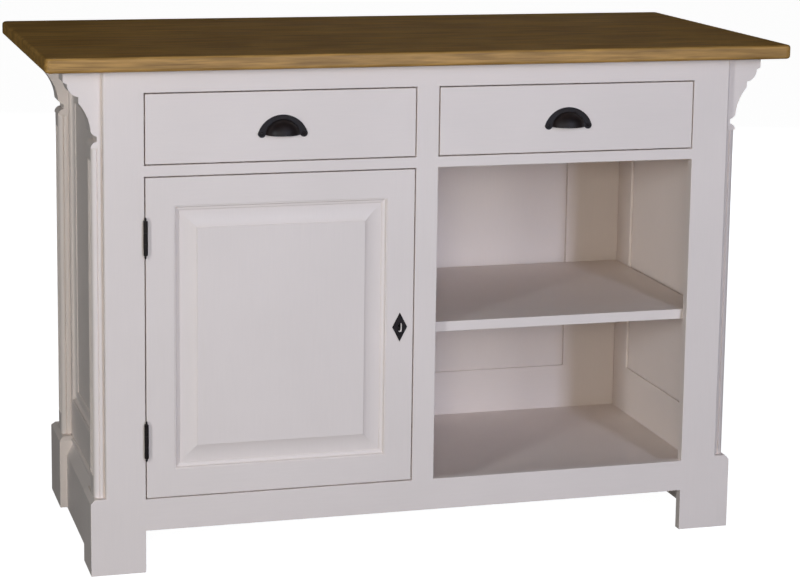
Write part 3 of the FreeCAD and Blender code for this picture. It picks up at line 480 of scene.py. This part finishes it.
def make_joinery():
    """Frames whose joints the paint hides, and single boards, all with eased arrises."""
    x_paint, y_paint, z_paint = PAINT["x"], PAINT["y"], PAINT["z"]
    frames = (
        ("face_frame",
         (("face_stile_left", z_paint), ("face_stile_centre", z_paint),
          ("face_stile_right", z_paint), ("plinth_block_front_left", z_paint),
          ("plinth_block_front_right", z_paint), ("face_rail_top", x_paint),
          ("face_rails_middle", x_paint), ("face_rail_bottom", x_paint))),
        ("side_frame_left", (("side_left_stiles", z_paint), ("side_left_rails", y_paint))),
        ("side_frame_right", (("side_right_stiles", z_paint), ("side_right_rails", y_paint))),
        ("back_frame", (("back_stiles", z_paint), ("back_rails", x_paint))),
    )
    for name, members in frames:
        first, *others = [loose("%s_%d" % (name, i), node, paint)
                          for i, (node, paint) in enumerate(members)]
        first.name = name
        frame_piece = ease(combine(first, "UNION", *others))
        seat(frame_piece, "carcass", "painted_wood", *[node for node, paint in members])

    stiles = loose("door_frame", "door_stiles", z_paint)
    rails = loose("door_rails_part", "door_rails", x_paint)
    bore = prism("door_bore", z_paint, key_slot(), DOOR_FACE - 0.003, DOOR_FACE + KEY_DEPTH)
    door_frame = combine(combine(stiles, "UNION", rails), "DIFFERENCE", bore)
    ease(door_frame, shortest=0.006)
    seat(door_frame, "door", "painted_wood", "door_stiles", "door_rails")

    singles = {
        "painted_wood": (("drawer_left_front", "drawer_left", x_paint),
                         ("drawer_right_front", "drawer_right", x_paint),
                         ("plinth_block_rear_left", "carcass", z_paint),
                         ("plinth_block_rear_right", "carcass", z_paint),
                         ("shelf_open_bay", "carcass", x_paint),
                         ("shelf_cupboard", "carcass", x_paint),
                         ("floor_board", "carcass", x_paint),
                         ("partition", "carcass", z_paint)),
        "bare_wood": (("drawer_left_sides", "drawer_left", PINE["y"]),
                      ("drawer_right_sides", "drawer_right", PINE["y"]),
                      ("drawer_left_back", "drawer_left", PINE["x"]),
                      ("drawer_right_back", "drawer_right", PINE["x"])),
    }
    for slot, members in singles.items():
        for node, body, material in members:
            seat(ease(loose(node + "_eased", node, material)), body, slot, node)


# From the field's edge outwards: a small step, a hollow's width and fall, the tongue's edge.
PANEL_STEP = ((0, 0), (0.0006, 0.0003), (0.0009, 0.0015), (0.0017, 0.0018))
PANEL_HOLLOW = 0.0345
HOLLOW_FALL = 0.0046
PANEL_EDGE = 0.0474


def make_door_panel():
    """The raised panel: a flat field, a small step and a hollow falling to the frame."""
    (x_low, y_low, z_low), (x_high, y_high, z_high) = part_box("door_panel")
    field = [x_low + PANEL_EDGE, z_low + PANEL_EDGE, x_high - PANEL_EDGE, z_high - PANEL_EDGE]
    section = [(out, y_low + drop) for out, drop in PANEL_STEP]
    step_out, step_y = section[-1]
    steps = 12
    for i in range(1, steps + 1):
        t = i / steps
        section.append((step_out + PANEL_HOLLOW * t, step_y + HOLLOW_FALL * (1 - (1 - t) ** 3)))
    section.append((PANEL_EDGE, step_y + HOLLOW_FALL))
    section.append((PANEL_EDGE, y_high))
    mesh = bmesh.new()
    rings = []
    for out, y in section:
        x0, z0, x1, z1 = field[0] - out, field[1] - out, field[2] + out, field[3] + out
        square = ((x0, z0), (x1, z0), (x1, z1), (x0, z1))
        rings.append([mesh.verts.new((x, y, z)) for x, z in square])
    mesh.faces.new(rings[0])
    mesh.faces.new(rings[-1][::-1])
    for inner, outer in zip(rings, rings[1:]):
        for i in range(4):
            j = (i + 1) % 4
            mesh.faces.new((inner[i], outer[i], outer[j], inner[j]))
    bmesh.ops.recalc_face_normals(mesh, faces=mesh.faces)
    panel = link("door_panel_raised", mesh, PAINT["z"])
    seat(panel, "door", "painted_wood", "door_panel")


# ------------------------------------------------------------------ ironmongery
# Half width, top and bottom of the plate's keyhole.
PLATE_HOLE = (0.0034, 0.0074, -0.0094)
# The wall of the black sleeve in the door's keyhole bore, which is painted shade for the bore's dark
# depth.
SHADE_SLEEVE_WALL = 0.0003
PLATE_PINS = (("top", 0.0172), ("bottom", -0.0176))
PLATE_PIN = ((0.0008, -0.001), (0.0011, 0), (0.0010, 0.0004), (0.0006, 0.0007), (0, 0.0008))


def make_escutcheon():
    """The key plate with its wide keyhole, a black sleeve in the keyhole's bore as painted shade for
    its dark depth, and two pins.
    """
    (x_low, y_low, z_low), (x_high, y_high, z_high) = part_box("escutcheon")
    outline = [(x_high, KEY_Z), (KEY_X, z_high), (x_low, KEY_Z), (KEY_X, z_low)]
    plate = prism("key_plate", IRON, outline, y_low, y_high)
    hole = prism("key_plate_hole", IRON, slot_outline(KEY_X + KEY_BEND, KEY_Z, *PLATE_HOLE),
                 y_low - 0.002, y_high + 0.002)
    plate = ease(combine(plate, "DIFFERENCE", hole), 0.0004)
    seat(plate, "door", "black_metal", "escutcheon")
    # The keyhole's dark depth is painted shade: a thin black sleeve, closed at its back, lines the
    # bore so the hole reads dark.
    shade_sleeve_end = DOOR_FACE + KEY_DEPTH - 0.0001
    shade_sleeve = prism("keyhole_lining", IRON, key_slot(), DOOR_FACE + 0.0002, shade_sleeve_end)
    hollow = prism("keyhole_lining_hollow", IRON, key_slot(SHADE_SLEEVE_WALL),
                   DOOR_FACE - 0.002, shade_sleeve_end - 0.0004)
    seat(combine(shade_sleeve, "DIFFERENCE", hollow), "door", "black_metal")
    for name, z in PLATE_PINS:
        pin = lathe("key_plate_pin_" + name, IRON, PLATE_PIN, (KEY_X, y_low, KEY_Z + z),
                    (0, -1, 0), 20)
        seat(pin, "door", "black_metal")


# The radius of a screw's head and how far it stands up.
PULL_SCREW = (0.0034, 0.0016)
LEAF_SCREW = (0.0024, 0.0004)
LOCK_SCREW = (0.0026, 0.0011)
PULL_PLATE = 0.002
PULL_LOBE = 0.0069


def make_pull_screws():
    """A slotted screw in each lobe of the pulls' flanges."""
    for side, extra in (("left", 20), ("right", 0)):
        body = "drawer_" + side
        low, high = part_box(body + "_pull")
        for end, x, turn in (("outer", low[0] + PULL_LOBE, 35), ("inner", high[0] - PULL_LOBE, 118)):
            place = (x, DOOR_FACE - PULL_PLATE, low[2] + PULL_LOBE)
            head = screw("pull_screw_%s_%s" % (side, end), IRON, place, (0, -1, 0),
                         *PULL_SCREW, turn + extra)
            seat(head, body, "black_metal")


HINGE_X, HINGE_Y = next(joint["pos_m"][:2] for joint in frame["joints"]
                        if joint["name"] == "door_hinge")
HINGE_TALL = 0.059
(_, _, HINGES_LOW), (_, _, HINGES_HIGH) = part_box("hinge_leaves_frame")
HINGE_FEET = (HINGES_LOW, HINGES_HIGH - HINGE_TALL)
KNUCKLE_REACH = 0.0046
KNUCKLE_SLIM = 0.84
SHAFT_RADIUS = 0.0012
FINIAL = ((0.0026, 0), (0.0026, 0.0009), (0.0013, 0.0014), (0.0012, 0.0019), (0.0018, 0.0029),
          (0.0019, 0.0036), (0.0015, 0.0048), (0.0008, 0.0060), (0, 0.0066))
LEAF_SCREW_RISES = (0.009, 0.0295, 0.050)
LEAF_SCREW_SIDE = 0.0011
LEAF_SCREW_BACK = 0.0065


def make_hinges():
    """Slim knuckles, turned pins with finials, and flush slotted screws in each leaf."""
    for node, body in (("hinge_leaves_frame", "carcass"), ("hinge_leaves_door", "door")):
        leaves = loose(node + "_slim", node, IRON)
        for corner in leaves.data.vertices:
            across = Vector((corner.co.x - HINGE_X, corner.co.y - HINGE_Y))
            if across.length < KNUCKLE_REACH:
                across *= KNUCKLE_SLIM
                corner.co.x = HINGE_X + across.x
                corner.co.y = HINGE_Y + across.y
        for face in leaves.data.polygons:
            face.use_smooth = True
        leaves.data.set_sharp_from_angle(angle=SHARP_ANGLE)
        seat(leaves, body, "black_metal", node)

    lower = [(radius, -rise) for radius, rise in FINIAL[::-1]]
    shaft = [(SHAFT_RADIUS, 0), (SHAFT_RADIUS, HINGE_TALL)]
    upper = [(radius, HINGE_TALL + rise) for radius, rise in FINIAL]
    pins = [lathe("hinge_pin_%d" % number, IRON, lower + shaft + upper, (HINGE_X, HINGE_Y, low),
                  (0, 0, 1), 24)
            for number, low in enumerate(HINGE_FEET)]
    seat(merged("hinge_pins_turned", pins), "carcass", "black_metal", "hinge_pins")

    for leaf, body, way in (("frame", "carcass", 1), ("door", "door", -1)):
        heads = []
        for number, low in enumerate(HINGE_FEET):
            for count, rise in enumerate(LEAF_SCREW_RISES):
                place = (HINGE_X - way * LEAF_SCREW_SIDE, DOOR_FACE + LEAF_SCREW_BACK, low + rise)
                heads.append(screw("leaf_screw_%d_%d" % (number, count), IRON, place,
                                   (way, 0, 0), *LEAF_SCREW, 25 + 50 * count + 70 * number))
        seat(merged("hinge_screws_" + leaf, heads), body, "black_metal")


LOCK_SCREW_OUT = 0.0135
LOCK_SCREW_UP = 0.0205


def make_lock_screws():
    """Four slotted screws near the corners of the lock case."""
    centre_x, _, centre_z = centre_of("lock_case")
    back = exact(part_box("lock_case")[1][1])
    corners = [(out, up) for up in (-1, 1) for out in (-1, 1)]
    heads = []
    for number, (out, up) in enumerate(corners):
        place = (centre_x + out * LOCK_SCREW_OUT, back, centre_z + up * LOCK_SCREW_UP)
        heads.append(screw("lock_screw_%d" % number, STEEL, place, (0, 1, 0),
                           *LOCK_SCREW, 40 * number + 15))
    seat(merged("lock_screws", heads), "door", "plain_steel")


make_joinery()
make_hinges()
make_lock_screws()
make_door_panel()
make_escutcheon()
make_pull_screws()


# ------------------------------------------------------------------ stage, light and camera
def make_studio():
    """A pale floor with a distant pale wall round it, which throw no light on the cabinet."""
    mesh = bmesh.new()
    reach, height, steps = 50, 40, 64
    turns = [2 * math.pi * i / steps for i in range(steps)]
    low = [mesh.verts.new((reach * math.cos(a), reach * math.sin(a), 0)) for a in turns]
    high = [mesh.verts.new((reach * math.cos(a), reach * math.sin(a), height)) for a in turns]
    mesh.faces.new(low)
    for i in range(steps):
        j = (i + 1) % steps
        mesh.faces.new((low[j], low[i], high[i], high[j]))
    studio = link("studio_floor_and_wall", mesh, floor_material("studio_pale"))
    studio.visible_diffuse = False
    studio.visible_glossy = False
    studio.visible_shadow = False


def area_light(name, place, target, width, height, power, colour):
    """A rectangular light aimed at a point, which the camera doesn't see."""
    data = bpy.data.lights.new(name, "AREA")
    data.shape = "RECTANGLE"
    data.size = width
    data.size_y = height
    data.energy = power
    data.color = colour
    lamp = bpy.data.objects.new(name, data)
    scene.collection.objects.link(lamp)
    lamp.location = place
    lamp.rotation_euler = (Vector(target) - Vector(place)).to_track_quat("-Z", "Y").to_euler()
    lamp.visible_camera = False
    return lamp


def make_lights():
    """Four softboxes in front, a weak one overhead, one behind and a faint warm world."""
    aim = (0, -0.2, 0.5)
    area_light("front_right", (1.081, -5.286, 1.7), aim, 0.5, 3.0, 104, (0.66, 0.75, 1.0))
    area_light("front_left", (-3.983, -3.542, 1.4), aim, 0.6, 0.9, 90, (0.88, 0.94, 1.0))
    area_light("soft_left", (-1.607, -5.145, 1.5), aim, 0.9, 0.9, 57, (1, 0.96, 0.88))
    area_light("soft_right", (2.198, -4.913, 1.2), aim, 0.7, 2.4, 27, (0.94, 0.95, 1.0))
    area_light("overhead", (0, -0.8, 4.0), (0, 0, 0.9), 2.6, 1.6, 8, (1.0, 1.0, 1.05))
    rear = area_light("rear", (1.5, 4.6, 1.6), (0, 0.2, 0.45), 2.4, 1.4, 106, (0.89, 0.93, 1.0))
    rear.visible_glossy = False
    world = bpy.data.worlds.new("studio")
    scene.world = world
    world.use_nodes = True
    room = world.node_tree.nodes["Background"]
    room.inputs["Color"].default_value = (1.0, 0.92, 0.84, 1)
    room.inputs["Strength"].default_value = 0.02
    world.cycles_visibility.glossy = False


def make_camera():
    """The camera of the photograph: its place and lens were solved from the object's corners."""
    data = bpy.data.cameras.new("camera")
    data.lens = 102.355
    data.shift_x = 0.00187
    data.shift_y = -0.14131
    data.clip_end = 200
    camera = bpy.data.objects.new("camera", data)
    scene.collection.objects.link(camera)
    camera.location = (-1.12995, -4.00976, 1.32922)
    camera.rotation_euler = [math.radians(angle) for angle in (80.4157, -0.7654, -15.979)]
    scene.camera = camera


make_studio()
make_lights()
make_camera()
scene.view_settings.view_transform = "Standard"
